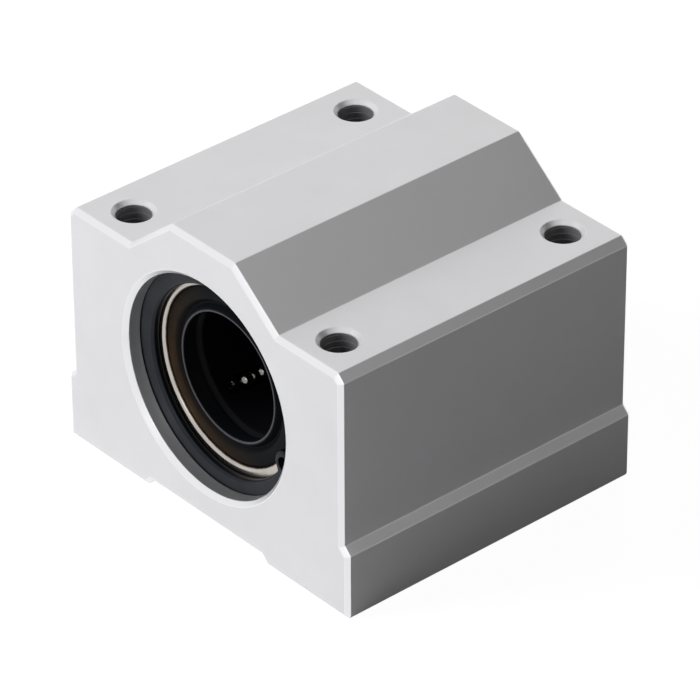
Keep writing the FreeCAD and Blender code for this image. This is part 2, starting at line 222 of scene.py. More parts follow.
# Helpers for nodes and colours.
def linear(hex_colour):
    """An sRGB hex colour as linear red, green, blue and a full alpha."""
    shares = [int(hex_colour[i : i + 2], 16) / 255 for i in (1, 3, 5)]
    lit = [s / 12.92 if s <= 0.04045 else ((s + 0.055) / 1.055) ** 2.4 for s in shares]
    return (*lit, 1.0)


def tinted(colour, share):
    """A colour with a share of its red, green and blue."""
    return tuple(share * part for part in colour[:3]) + (1.0,)


def add_node(tree, kind, inputs=None, **settings):
    """Add a node. Inputs map a socket's name or number to a value or another node's output.

    A Mix node's sockets have numbers here: 0 is its factor, 2 and 3 are the two values that it
    mixes, 6 and 7 the two colours, and its output is 0 for a value and 2 for a colour.
    """
    node = tree.nodes.new(kind)
    for name, value in settings.items():
        setattr(node, name, value)
    for socket, value in (inputs or {}).items():
        if isinstance(value, bpy.types.NodeSocket):
            tree.links.new(value, node.inputs[socket])
        else:
            node.inputs[socket].default_value = value
    return node


# Helpers for pieces that a node tree grows from points.
def points_tree(name, inputs):
    """A node tree that takes points, named inputs of given kinds and a finish."""
    tree = bpy.data.node_groups.new(name, "GeometryNodeTree")
    for label, kind in {"Geometry": "Geometry", **inputs, "Finish": "Material"}.items():
        tree.interface.new_socket(label, in_out="INPUT", socket_type="NodeSocket" + kind)
    tree.interface.new_socket("Geometry", in_out="OUTPUT", socket_type="NodeSocketGeometry")
    return tree, add_node(tree, "NodeGroupInput").outputs


def put_on_points(tree, given, shape):
    """End a tree with a shape on every point, made real and dressed in the finish."""
    placed = add_node(
        tree, "GeometryNodeInstanceOnPoints", {"Points": given["Geometry"], "Instance": shape}
    ).outputs[0]
    real = add_node(tree, "GeometryNodeRealizeInstances", {"Geometry": placed}).outputs[0]
    dressed = add_node(
        tree, "GeometryNodeSetMaterial", {"Geometry": real, "Material": given["Finish"]}
    ).outputs[0]
    add_node(tree, "NodeGroupOutput", {"Geometry": dressed})


def grown_piece(name, points, tree, finish, values):
    """A piece whose mesh is what a node tree grows from points."""
    mesh = bpy.data.meshes.new(name)
    mesh.from_pydata(points, [], [])
    piece = piece_from(mesh, finish)
    growing = piece.modifiers.new("growing", "NODES")
    growing.node_group = tree
    sockets = {s.name: s.identifier for s in tree.interface.items_tree if s.in_out == "INPUT"}
    for label, value in {**values, "Finish": finish}.items():
        growing[sockets[label]] = value
    settle(piece)
    return piece


# Helpers for materials.
def empty_material(name):
    """A material and its tree, which has no nodes yet."""
    material = bpy.data.materials.new(name)
    material.use_nodes = True
    material.node_tree.nodes.clear()
    return material, material.node_tree


def surfaced(material, inputs):
    """End a material with a Principled shader that takes these inputs."""
    tree = material.node_tree
    shader = add_node(tree, "ShaderNodeBsdfPrincipled", inputs)
    add_node(tree, "ShaderNodeOutputMaterial", {"Surface": shader.outputs["BSDF"]})
    return material


def in_millimetres(tree, origin=(0, 0, 0)):
    """Object coordinates in millimetres from an origin."""
    place = add_node(tree, "ShaderNodeTexCoord").outputs["Object"]
    back = tuple(-Vector(origin) / MM)
    return add_node(
        tree, "ShaderNodeMapping", {"Vector": place, "Location": back, "Scale": (1 / MM,) * 3}
    ).outputs[0]


def from_mid_length(tree, centred):
    """How far a surface is from the middle of the bearing's length, in millimetres."""
    along = add_node(tree, "ShaderNodeSeparateXYZ", {0: centred}).outputs["Y"]
    return add_node(tree, "ShaderNodeMath", {0: along}, operation="ABSOLUTE").outputs[0]


def moulded_skin(tree, place):
    """Bump of the skin that a mould leaves on resin and rubber."""
    # The mould is ground to about 0.05 mm, drawn at 0.2 mm so that it shows.
    skin = add_node(
        tree, "ShaderNodeTexNoise", {"Vector": place, "Scale": 1 / 0.2, "Detail": 3.0}
    ).outputs["Fac"]
    return add_node(
        tree, "ShaderNodeBump", {"Height": skin, "Strength": 0.3, "Distance": 0.01 * MM}
    ).outputs["Normal"]


def aluminium_finish(colours):
    """Clear anodised aluminium: etched matt, then a thin hard oxide that spreads the light.

    It looks an even pale grey with a soft satin shine. Where the "cut" attribute is 1, a tool
    has left the metal brighter and smoother, and where "deep" is 1 as well, down the screw
    holes, the colour is darkened as painted shade.
    """
    material, tree = empty_material(ALUMINIUM)
    in_mm = in_millimetres(tree)
    cut = add_node(tree, "ShaderNodeAttribute", attribute_name="cut").outputs["Fac"]
    deep = add_node(tree, "ShaderNodeAttribute", attribute_name="deep").outputs["Fac"]
    turned = add_node(tree, "ShaderNodeMath", {0: cut, 1: deep}, operation="SUBTRACT").outputs[0]

    # Cloudy shade of the etched surface, in patches of about 6 mm.
    cloud = add_node(
        tree, "ShaderNodeTexNoise", {"Vector": in_mm, "Scale": 1 / 6, "Detail": 3.0}
    ).outputs["Fac"]
    paler, darker = tuple(colours.aluminium), tuple(colours.aluminium_shade)
    etched = add_node(
        tree, "ShaderNodeMix", {0: cloud, 6: paler, 7: darker}, data_type="RGBA"
    ).outputs[2]
    bright = tuple(colours.aluminium_cut)
    machined = add_node(
        tree, "ShaderNodeMix", {0: cut, 6: etched, 7: bright}, data_type="RGBA"
    ).outputs[2]
    # Down the screw holes the tone is a mid grey: painted shade in the deep holes.
    hole_shade = tuple(colours.aluminium_hole_shade)
    tone = add_node(
        tree, "ShaderNodeMix", {0: deep, 6: machined, 7: hole_shade}, data_type="RGBA"
    ).outputs[2]

    # Etched grain, really about 0.03 mm and drawn at 0.12 mm so that it shows.
    grain = add_node(
        tree, "ShaderNodeTexNoise", {"Vector": in_mm, "Scale": 1 / 0.12, "Detail": 2.0}
    ).outputs["Fac"]
    # Draw lines of the extrusion, 0.4 mm apart and 50 times as long along the bore.
    stretched = add_node(
        tree, "ShaderNodeVectorMath", {0: in_mm, 1: (1.0, 1 / 50, 1.0)}, operation="MULTIPLY"
    ).outputs[0]
    lines = add_node(
        tree, "ShaderNodeTexNoise", {"Vector": stretched, "Scale": 1 / 0.4, "Detail": 1.0}
    ).outputs["Fac"]
    # Feed marks of the tool on what was cut, 0.25 mm apart along the bore.
    feed = add_node(
        tree,
        "ShaderNodeTexWave",
        {"Vector": in_mm, "Scale": 1 / 0.25 / WAVES, "Distortion": 0.4, "Detail": 1.0},
        bands_direction="Y",
    ).outputs["Fac"]
    drawn = add_node(
        tree, "ShaderNodeMix", {0: cut, 2: lines, 3: feed}, data_type="FLOAT"
    ).outputs[0]
    # All of it is within a hundredth of a millimetre deep.
    relief = add_node(tree, "ShaderNodeMath", {0: grain, 1: drawn}, operation="ADD").outputs[0]
    bump = add_node(
        tree, "ShaderNodeBump", {"Height": relief, "Strength": 0.25, "Distance": 0.01 * MM}
    ).outputs["Normal"]

    # The clouds are a little glossier and duller as well.
    spread = 0.04
    glossier = colours.aluminium_dullness - spread
    duller = colours.aluminium_dullness + spread
    matt = add_node(
        tree, "ShaderNodeMapRange", {"Value": cloud, "To Min": glossier, "To Max": duller}
    ).outputs[0]
    smooth = colours.aluminium_cut_dullness
    dullness = add_node(
        tree, "ShaderNodeMix", {0: cut, 2: matt, 3: smooth}, data_type="FLOAT"
    ).outputs[0]
    # The bore and the ends' edges are bare metal, and elsewhere oxide or oil hides part of it.
    share = colours.aluminium_metal
    metal = add_node(
        tree, "ShaderNodeMapRange", {"Value": turned, "To Min": share, "To Max": 1.0}
    ).outputs[0]
    # The marks of the tool run round the bore and spread the light along it.
    streak = colours.aluminium_cut_streak
    spreading = add_node(
        tree, "ShaderNodeMath", {0: turned, 1: streak}, operation="MULTIPLY"
    ).outputs[0]
    along_bore = add_node(tree, "ShaderNodeCombineXYZ", {"Y": 1.0}).outputs[0]
    return surfaced(
        material,
        {
            "Base Color": tone,
            "Roughness": dullness,
            "Normal": bump,
            "Metallic": metal,
            "Anisotropic": spreading,
            "Tangent": along_bore,
        },
    )


def turned_steel(name, colour, roughness, ring_mm, depth=0.3, unshaded_from=None):
    """Steel from a lathe or grinder: fine rings round the bore, and smears of oil.

    The rings are really some 0.05 mm apart, and drawn ring_mm apart so that they show. With
    the last argument, the metal nearer to mid-length than that many millimetres is painted
    nearly black, as painted shade inside the bearing.
    """
    material, tree = empty_material(name)
    centred = in_millimetres(tree, BEARING_CENTRE)
    rings = add_node(
        tree,
        "ShaderNodeTexWave",
        {"Vector": centred, "Scale": 1 / ring_mm / WAVES, "Distortion": 1.5, "Detail": 2.0},
        wave_type="RINGS",
        rings_direction="Y",
    ).outputs["Fac"]
    bump = add_node(
        tree, "ShaderNodeBump", {"Height": rings, "Strength": depth, "Distance": 0.005 * MM}
    ).outputs["Normal"]
    # Oil and handling leave patches of about 2.5 mm, darker and up to a quarter duller.
    smear = add_node(
        tree, "ShaderNodeTexNoise", {"Vector": centred, "Scale": 1 / 2.5, "Detail": 3.0}
    ).outputs["Fac"]
    glossier, duller = roughness * 0.75, roughness * 1.25
    dullness = add_node(
        tree, "ShaderNodeMapRange", {"Value": smear, "To Min": glossier, "To Max": duller}
    ).outputs[0]
    clean, smeared = tuple(colour), tinted(colour, 0.72)
    tone = add_node(
        tree, "ShaderNodeMix", {0: smear, 6: clean, 7: smeared}, data_type="RGBA"
    ).outputs[2]
    if unshaded_from:
        # The steel nearer to mid-length is painted nearly black, as painted shade inside the
        # bearing.
        # The ground metal begins within a tenth of a millimetre.
        edge = {"From Min": unshaded_from - 0.1, "From Max": unshaded_from}
        ground = add_node(
            tree, "ShaderNodeMapRange", {"Value": from_mid_length(tree, centred), **edge}
        ).outputs[0]
        painted_shade = tinted(colour, 0.05)
        tone = add_node(
            tree, "ShaderNodeMix", {0: ground, 6: painted_shade, 7: tone}, data_type="RGBA"
        ).outputs[2]
    return surfaced(
        material, {"Base Color": tone, "Roughness": dullness, "Normal": bump, "Metallic": 1.0}
    )


def resin_finish(colours):
    """Black moulded resin: nearly black, with a fine even skin that is glossier in patches."""
    material, tree = empty_material("black moulded resin")
    in_mm = in_millimetres(tree)
    # The resin has set in patches of about 3 mm, some paler and glossier.
    patches = add_node(
        tree, "ShaderNodeTexNoise", {"Vector": in_mm, "Scale": 1 / 3, "Detail": 2.0}
    ).outputs["Fac"]
    plain, paler = tuple(colours.resin), tinted(colours.resin, 1.6)
    tone = add_node(
        tree, "ShaderNodeMix", {0: patches, 6: plain, 7: paler}, data_type="RGBA"
    ).outputs[2]
    dullness = add_node(
        tree, "ShaderNodeMapRange", {"Value": patches, "To Min": 0.55, "To Max": 0.35}
    ).outputs[0]
    return surfaced(
        material,
        {
            "Base Color": tone,
            "Roughness": dullness,
            "Normal": moulded_skin(tree, in_mm),
            "Specular IOR Level": 0.06,
        },
    )


def seal_finish(colours):
    """Oiled black nitrile rubber out of a mould.

    It looks nearly black, with oil towards the rim that carries a brown painted sheen on the
    -X side, and a painted highlight on the lip's edge.
    """
    material, tree = empty_material("oiled black nitrile rubber")
    centred = in_millimetres(tree, BEARING_CENTRE)
    across = add_node(
        tree, "ShaderNodeVectorMath", {0: centred, 1: (1.0, 0.0, 1.0)}, operation="MULTIPLY"
    ).outputs[0]
    radius = add_node(
        tree, "ShaderNodeVectorMath", {0: across}, operation="LENGTH"
    ).outputs["Value"]

    # The oil has run together in patches of about 4 mm, and the painted sheen follows them.
    patches = add_node(
        tree, "ShaderNodeTexNoise", {"Vector": centred, "Scale": 1 / 4, "Detail": 3.0}
    ).outputs["Fac"]
    # It lies on the rim: there is none within 9 mm of the axis, and it is full from 10.2 mm.
    on_rim = add_node(
        tree, "ShaderNodeMapRange", {"Value": radius, "From Min": 9.0, "From Max": 10.2}
    ).outputs[0]
    # The painted sheen lies to -X and a little down: it is full 9 mm that way, and ends 1 mm
    # the other way.
    towards_sheen = add_node(
        tree, "ShaderNodeVectorMath", {0: centred, 1: (-0.9, 0.0, -0.45)}, operation="DOT_PRODUCT"
    ).outputs["Value"]
    sheen_side = add_node(
        tree, "ShaderNodeMapRange", {"Value": towards_sheen, "From Min": -1.0, "From Max": 9.0}
    ).outputs[0]
    sheen_rim = add_node(
        tree, "ShaderNodeMath", {0: sheen_side, 1: on_rim}, operation="MULTIPLY"
    ).outputs[0]
    oil_and_sheen = add_node(
        tree, "ShaderNodeMath", {0: patches, 1: sheen_rim}, operation="MULTIPLY"
    ).outputs[0]
    # The rim's brown is partly the oil's own tint and partly a painted sheen.
    black, oil = tuple(colours.rubber), tuple(colours.rubber_oil_sheen)
    oiled = add_node(
        tree, "ShaderNodeMix", {0: oil_and_sheen, 6: black, 7: oil}, data_type="RGBA"
    ).outputs[2]
    dullness = add_node(
        tree, "ShaderNodeMapRange", {"Value": oil_and_sheen, "To Min": 0.6, "To Max": 0.3}
    ).outputs[0]

    # The lip's edge is within 8.3 mm of the axis and over 18.1 mm from mid-length.
    near_axis = add_node(
        tree, "ShaderNodeMapRange", {"Value": radius, "From Min": 8.32, "From Max": 8.24}
    ).outputs[0]
    outside = {"From Min": 18.1, "From Max": 18.2}
    at_end = add_node(
        tree, "ShaderNodeMapRange", {"Value": from_mid_length(tree, centred), **outside}
    ).outputs[0]
    on_lip = add_node(
        tree, "ShaderNodeMath", {0: near_axis, 1: at_end}, operation="MULTIPLY"
    ).outputs[0]
    # The lip's edge is painted paler: a painted highlight.
    highlighted = tuple(colours.rubber_lip_highlight)
    tone = add_node(
        tree, "ShaderNodeMix", {0: on_lip, 6: oiled, 7: highlighted}, data_type="RGBA"
    ).outputs[2]
    return surfaced(
        material,
        {
            "Base Color": tone,
            "Roughness": dullness,
            "Normal": moulded_skin(tree, centred),
            "Specular IOR Level": 0.08,
        },
    )


# What a user would change.
class BearingSizes(PropertyGroup):
    """Sizes of the finishing touches."""

    housing_edge: FloatProperty(
        name="Housing edges",
        description="Rounding of the housing's edges",
        default=0.1 * MM,
        unit="LENGTH",
    )
    cage_edge: FloatProperty(
        name="Cage mouth",
        description="Rounding where the cage's bore meets its flared mouth",
        default=0.2 * MM,
        unit="LENGTH",
    )
    ring_edge: FloatProperty(
        name="Ring edge",
        description="Rounding that stamping left round the inside of a retaining ring",
        default=0.45 * MM,
        unit="LENGTH",
    )
    sleeve_edge: FloatProperty(
        name="Sleeve edges",
        description="Rounding of the sleeve's inner end edges",
        default=0.45 * MM,
        unit="LENGTH",
    )
    ball_diameter: FloatProperty(
        name="Ball diameter",
        description="Size of one bearing ball",
        default=2.381 * MM,
        unit="LENGTH",
    )
    ball_fineness: IntProperty(
        name="Ball fineness", description="Subdivisions of a ball's mesh", default=3, min=1, max=4
    )


class BearingFinish(PropertyGroup):
    """Colours and gloss of the finishes."""

    aluminium: FloatVectorProperty(
        name="Aluminium",
        description="Clear anodised aluminium",
        subtype="COLOR",
        size=4,
        default=linear("#E0DFE0"),
    )
    aluminium_shade: FloatVectorProperty(
        name="Aluminium shade",
        description="Darker patches of the anodised surface",
        subtype="COLOR",
        size=4,
        default=linear("#D9D8D9"),
    )
    aluminium_cut: FloatVectorProperty(
        name="Cut aluminium",
        description="The bore, the holes and the edges of both ends, which a tool has cut",
        subtype="COLOR",
        size=4,
        default=linear("#EDEDEF"),
    )
    # Painted shade for the walls of the screw holes and their threads.
    aluminium_hole_shade: FloatVectorProperty(
        name="Shaded aluminium",
        description="Darkened walls of the screw holes",
        subtype="COLOR",
        size=4,
        default=linear("#909092"),
    )
    aluminium_dullness: FloatProperty(
        name="Aluminium roughness",
        description="How matt the etched aluminium is",
        subtype="FACTOR",
        default=0.42,
        min=0.0,
        max=1.0,
    )
    aluminium_cut_dullness: FloatProperty(
        name="Cut aluminium roughness",
        description="How matt the tool has left the aluminium",
        subtype="FACTOR",
        default=0.36,
        min=0.0,
        max=1.0,
    )
    aluminium_cut_streak: FloatProperty(
        name="Cut aluminium streak",
        description="How far the marks of the tool draw out the light",
        subtype="FACTOR",
        default=0.56,
        min=0.0,
        max=1.0,
    )
    aluminium_metal: FloatProperty(
        name="Aluminium metal share",
        description="How much of the light the bare metal under the oxide sends back",
        subtype="FACTOR",
        default=0.5,
        min=0.0,
        max=1.0,
    )
    ring_steel: FloatVectorProperty(
        name="Ring steel",
        description="Oiled phosphate on spring steel",
        subtype="COLOR",
        size=4,
        default=linear("#2E3136"),
    )
    sleeve_steel: FloatVectorProperty(
        name="Sleeve steel",
        description="Ground bearing steel",
        subtype="COLOR",
        size=4,
        default=linear("#C8C1B9"),
    )
    ball_steel: FloatVectorProperty(
        name="Ball steel",
        description="Polished bearing steel",
        subtype="COLOR",
        size=4,
        default=linear("#8C8A86"),
    )
    rubber: FloatVectorProperty(
        name="Rubber",
        description="Black nitrile rubber",
        subtype="COLOR",
        size=4,
        default=linear("#090B0F"),
    )
    # Brown of the oil on the seals' rim, which is also a painted sheen.
    rubber_oil_sheen: FloatVectorProperty(
        name="Oil on rubber",
        description="Brownish preserving oil on the rubber",
        subtype="COLOR",
        size=4,
        default=linear("#3B2A12"),
    )
    # A painted highlight on the seal lip's edge.
    rubber_lip_highlight: FloatVectorProperty(
        name="Lip edge",
        description="Rubber of the lip's edge, rubbed paler",
        subtype="COLOR",
        size=4,
        default=linear("#4A4A4E"),
    )
    resin: FloatVectorProperty(
        name="Cage resin",
        description="Black moulded resin",
        subtype="COLOR",
        size=4,
        default=linear("#08080A"),
    )


class BearingStudio(PropertyGroup):
    """Light of the studio."""

    key_power: FloatProperty(
        name="Key lamp",
        description="Power of the large lamp at the front left",
        default=6.5,
        unit="POWER",
    )
    back_power: FloatProperty(
        name="Back lamp",
        description="Power of the lamp behind on the left",
        default=1.4,
        unit="POWER",
    )
    shade_level: FloatProperty(
        name="Room light", description="Level of the light from all around", default=0.1
    )
    card_level: FloatProperty(
        name="Dark cards", description="Brightness of the cards seen in the metal", default=0.04
    )
    box_level: FloatProperty(
        name="Soft box", description="Brightness of the soft box seen in the metal", default=2.0
    )


# The pieces.
class BEARING_OT_housing(Operator):
    """Give the housing its rounded edges and its anodised finish"""

    bl_idname = "bearing.housing"
    bl_label = "Housing"

    # How far from its axis the bore reaches with its ring grooves, how far a screw hole
    # reaches, and how far the edges of an end reach in from it.
    BORE_REACH = 14.75 * MM
    HOLE_REACH = SCREW_HOLE_RADIUS + 0.15 * MM
    EDGE_REACH = 0.6 * MM
    # How much of a face's normal lies along a direction, where the face runs along it and
    # where the face is square to it.
    RUNS_ALONG = 0.1
    SQUARE = 0.99

    def mark_cuts(self, mesh):
        """Mark what a tool has cut: the bore, the holes and the edges of both ends.

        The walls of the holes are deep as well, which gives them painted shade.
        """
        cut = mesh.attributes.new("cut", "FLOAT", "FACE")
        deep = mesh.attributes.new("deep", "FLOAT", "FACE")
        _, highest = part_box("housing_block")
        for face, mark, wall in zip(mesh.polygons, cut.data, deep.data):
            spot, facing = face.center, face.normal
            in_bore = from_axis(spot) < self.BORE_REACH and abs(facing.y) < self.SQUARE
            from_hole = math.hypot(
                abs(spot.x) - SCREW_X_MM * MM, abs(spot.y) - SCREW_Y_MM * MM
            )
            in_hole = from_hole < self.HOLE_REACH and abs(facing.z) < self.RUNS_ALONG
            leans = self.RUNS_ALONG < abs(facing.y) < self.SQUARE
            at_end = leans and abs(spot.y) > highest.y - self.EDGE_REACH
            mark.value = float(in_bore or in_hole or at_end)
            wall.value = float(in_hole)

    def execute(self, context):
        finish = aluminium_finish(context.scene.bearing_finish)
        across = Vector((1, 0, 0))
        places = (0, -SCREW_X_MM, SCREW_X_MM)
        cuts = [(BEARING_CENTRE + across * x * MM, across) for x in places]
        housing = piece_from(merged_copy("housing_block", "housing", cuts), finish)
        round_edges(housing, context.scene.bearing_sizes.housing_edge)
        self.mark_cuts(housing.data)
        dress(housing, "anodised_aluminium", "housing_block")
        return {"FINISHED"}


class BEARING_OT_retaining_rings(Operator):
    """Give both spring rings their stamped edges and their oiled black finish"""

    bl_idname = "bearing.retaining_rings"
    bl_label = "Retaining rings"

    # How far each ring's gap is turned from +X, in degrees: both lie a little low.
    TURNS = {"front": 9, "rear": 180 - 9}
    # Where the plier holes are, from the bore's axis towards the gap and across it, and how
    # large they are.
    EAR_REACH = 12.1 * MM
    EAR_HALF_SPACING = 3.8 * MM
    HOLE_RADIUS = 0.95 * MM
    # What share of the rounding the outside and the holes have.
    OUTSIDE_SHARE = 0.2

    def ears(self, turn):
        """Where the plier holes of a ring are, from the bore's axis."""
        angle = math.radians(turn)
        towards = Vector((math.cos(angle), 0, -math.sin(angle)))
        across = towards.cross(BORE_DIRECTION)
        return [
            towards * self.EAR_REACH + across * side * self.EAR_HALF_SPACING for side in (-1, 1)
        ]

    def rounding(self, edge, ears):
        """The weight of an edge: full on the inside, less elsewhere, none across the plate."""
        ends = [vertex.co - BEARING_CENTRE for vertex in edge.verts]
        if abs(ends[0].y - ends[1].y) > 0.1 * MM:
            return 0.0
        middle = (ends[0] + ends[1]) / 2
        middle.y = 0
        if min((middle - ear).length for ear in ears) < 1.1 * self.HOLE_RADIUS:
            return self.OUTSIDE_SHARE
        wall = min(edge.link_faces, key=lambda face: abs(face.normal.y))
        return 1.0 if wall.normal.dot(middle) < 0 else self.OUTSIDE_SHARE

    def execute(self, context):
        # Phosphate makes the steel dull and nearly black, and oil gives it a soft cool sheen.
        colour = context.scene.bearing_finish.ring_steel
        finish = turned_steel(
            "oiled phosphated spring steel", colour, roughness=0.38, ring_mm=0.3
        )
        width = context.scene.bearing_sizes.ring_edge
        for end, turn in self.TURNS.items():
            ears = self.ears(turn)
            cuts = [(BEARING_CENTRE, ear.cross(BORE_DIRECTION)) for ear in ears]
            name = f"{end}_retaining_ring"
            ring = piece_from(merged_copy(name, f"{end}_spring_ring", cuts), finish)
            round_edges(ring, width, 3, lambda edge: self.rounding(edge, ears))
            dress(ring, "black_spring_steel", name)
        return {"FINISHED"}


class BEARING_OT_sleeve(Operator):
    """Give the bearing sleeve its rounded ends and its ground finish"""

    bl_idname = "bearing.sleeve"
    bl_label = "Bearing sleeve"

    # The inner edge of an end is nearer to the axis than this, and the outer edge is further
    # and has a share of the rounding.
    BETWEEN_EDGES = 12 * MM
    OUTER_SHARE = 0.3
    # How far from mid-length the ground metal of an end begins, in millimetres. Nearer than
    # this, the steel is painted dark as shade inside the bearing.
    UNSHADED_FROM = 17.9

    def execute(self, context):
        # Ground steel is bright and warm, and its rounded inner edge shows as a pale ring.
        finish = turned_steel(
            "ground bearing steel",
            context.scene.bearing_finish.sleeve_steel,
            roughness=0.24,
            ring_mm=0.2,
            unshaded_from=self.UNSHADED_FROM,
        )
        cuts = [(BEARING_CENTRE, Vector((1, 0, 0)))]
        sleeve = piece_from(merged_copy("bearing_sleeve", "ground_sleeve", cuts), finish)
        _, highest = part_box("bearing_sleeve")

        def at_its_ends(edge):
            if any(abs(vertex.co.y) < highest.y - 0.1 * MM for vertex in edge.verts):
                return 0.0
            inner = from_axis(edge.verts[0].co) < self.BETWEEN_EDGES
            return 1.0 if inner else self.OUTER_SHARE

        round_edges(sleeve, context.scene.bearing_sizes.sleeve_edge, 4, at_its_ends)
        dress(sleeve, "bearing_steel", "bearing_sleeve")
        return {"FINISHED"}


class BEARING_OT_cage(Operator):
    """Give the ball cage its rounded mouths and its moulded finish"""

    bl_idname = "bearing.cage"
    bl_label = "Ball cage"

    # Where the cage's bore meets its flared mouth: from mid-length and from the axis.
    MOUTH = 15.1 * MM
    BORE_RADIUS = 8.3 * MM

    def execute(self, context):
        finish = resin_finish(context.scene.bearing_finish)
        cage = piece_from(merged_copy("ball_cage", "moulded_cage"), finish)

        def at_mouth(edge):
            misses = [abs(abs(vertex.co.y) - self.MOUTH) for vertex in edge.verts]
            misses += [abs(from_axis(vertex.co) - self.BORE_RADIUS) for vertex in edge.verts]
            return float(max(misses) < 0.1 * MM)

        round_edges(cage, context.scene.bearing_sizes.cage_edge, 3, at_mouth)
        dress(cage, "cage_resin", "ball_cage")
        return {"FINISHED"}


class BEARING_OT_seals(Operator):
    """Turn both shaft seals with a rounded rim, a groove and a thin lip"""

    bl_idname = "bearing.seals"
    bl_label = "Shaft seals"

    # Corners of the section: radius, distance from mid-length and fillet, in millimetres.
    SECTION = [
        (8.5, 16.0, 0.1),
        (11.2, 16.0, 0.1),
        (11.2, 18.0, 0.2),
        (9.6, 18.1, 0.4),
        (8.95, 17.3, 0.2),
        (8.42, 18.25, 0.14),
        (8.05, 18.25, 0.05),
        (8.05, 17.8, 0.1),
    ]

    def execute(self, context):
        finish = seal_finish(context.scene.bearing_finish)
        for end, side in (("front", -1), ("rear", 1)):
            seal = piece_from(lathed(f"{end}_lip_seal", rounded(self.SECTION), side), finish)
            dress(seal, "seal_rubber", f"{end}_seal")
        return {"FINISHED"}


class BEARING_OT_threads(Operator):
    """Cut the screw threads as helical ridges at the top of the four holes"""

    bl_idname = "bearing.threads"
    bl_label = "Screw threads"

    # Where the thread begins, under the countersink, how deep it goes, its pitch and how far
    # a ridge stands out of the wall.
    TOP = 32.0 * MM
    DEPTH = 12.0 * MM
    PITCH = 0.8 * MM
    RIDGE = 0.03 * MM

    def thread_tree(self):
        """Nodes that sweep a sharp ridge along a helix and put it at every hole."""
        inputs = dict.fromkeys(("Helix radius", "Pitch", "Depth", "Ridge size"), "Float")
        tree, given = points_tree("threads in holes", inputs)
        turns = add_node(
            tree, "ShaderNodeMath", {0: given["Depth"], 1: given["Pitch"]}, operation="DIVIDE"
        ).outputs[0]
        helix = add_node(
            tree,
            "GeometryNodeCurveSpiral",
            {
                "Resolution": 40,
                "Rotations": turns,
                "Start Radius": given["Helix radius"],
                "End Radius": given["Helix radius"],
                "Height": given["Depth"],
            },
        ).outputs[0]
        upright = add_node(
            tree, "GeometryNodeSetCurveNormal", {"Curve": helix}, mode="Z_UP"
        ).outputs[0]
        # Four sides give the ridge its sharp crest.
        ridge = add_node(
            tree,
            "GeometryNodeCurvePrimitiveCircle",
            {"Resolution": 4, "Radius": given["Ridge size"]},
        ).outputs[0]
        swept = add_node(
            tree,
            "GeometryNodeCurveToMesh",
            {"Curve": upright, "Profile Curve": ridge, "Fill Caps": True},
        ).outputs[0]
        put_on_points(tree, given, swept)
        return tree

    def execute(self, context):
        bottom = self.TOP - self.DEPTH
        holes = [
            (x * MM, y * MM, bottom)
            for x in (-SCREW_X_MM, SCREW_X_MM)
            for y in (-SCREW_Y_MM, SCREW_Y_MM)
        ]
        values = {
            "Helix radius": SCREW_HOLE_RADIUS,
            "Pitch": self.PITCH,
            "Depth": self.DEPTH,
            "Ridge size": self.RIDGE,
        }
        finish = bpy.data.materials[ALUMINIUM]
        threads = grown_piece("screw_threads", holes, self.thread_tree(), finish, values)
        # The threads are cut and deep like the hole walls, so they get the same painted shade.
        for name in ("cut", "deep"):
            marks = threads.data.attributes.new(name, "FLOAT", "FACE")
            marks.data.foreach_set("value", [1.0] * len(threads.data.polygons))
        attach(threads, ROOT)
        return {"FINISHED"}


class BEARING_OT_balls(Operator):
    """Put a round ball where each of the CAD model's balls stands"""

    bl_idname = "bearing.balls"
    bl_label = "Bearing balls"

    def centres(self, nodes):
        """The centre of each separate ball in some CAD nodes."""
        found = []
        for name in nodes:
            shell = bmesh.new()
            shell.from_mesh(frame["nodes"][name].data)
            bmesh.ops.remove_doubles(shell, verts=shell.verts, dist=SAME_CORNER)
            seen = set()
            for first in shell.verts:
                if first in seen:
                    continue
                seen.add(first)
                ball, border = [], [first]
                while border:
                    vertex = border.pop()
                    ball.append(vertex.co.copy())
                    for edge in vertex.link_edges:
                        other = edge.other_vert(vertex)
                        if other not in seen:
                            seen.add(other)
                            border.append(other)
                found.append(sum(ball, Vector()) / len(ball))
            shell.free()
        return found

    def ball_tree(self):
        """Nodes that put a smooth ball on every point."""
        tree, given = points_tree("balls on points", {"Ball radius": "Float", "Fineness": "Int"})
        ball = add_node(
            tree,
            "GeometryNodeMeshIcoSphere",
            {"Radius": given["Ball radius"], "Subdivisions": given["Fineness"]},
        ).outputs["Mesh"]
        smooth = add_node(tree, "GeometryNodeSetShadeSmooth", {"Geometry": ball}).outputs[0]
        put_on_points(tree, given, smooth)
        return tree

    def execute(self, context):
        # Balls are lapped to a mirror and show as small sharp lights. The wide faint rings
        # only keep the mirror from being perfect.
        finish = turned_steel(
            "polished bearing steel",
            context.scene.bearing_finish.ball_steel,
            roughness=0.07,
            ring_mm=1.0,
            depth=0.05,
        )
        sizes = context.scene.bearing_sizes
        values = {"Ball radius": sizes.ball_diameter / 2, "Fineness": sizes.ball_fineness}
        tree = self.ball_tree()
        for kind in ("loaded", "return"):
            nodes = sorted(n for n in frame["nodes"] if n.startswith(f"{kind}_balls"))
            centres = self.centres(nodes)
            balls = grown_piece(f"{kind}_steel_balls", centres, tree, finish, values)
            dress(balls, "ball_steel", *nodes)
        return {"FINISHED"}


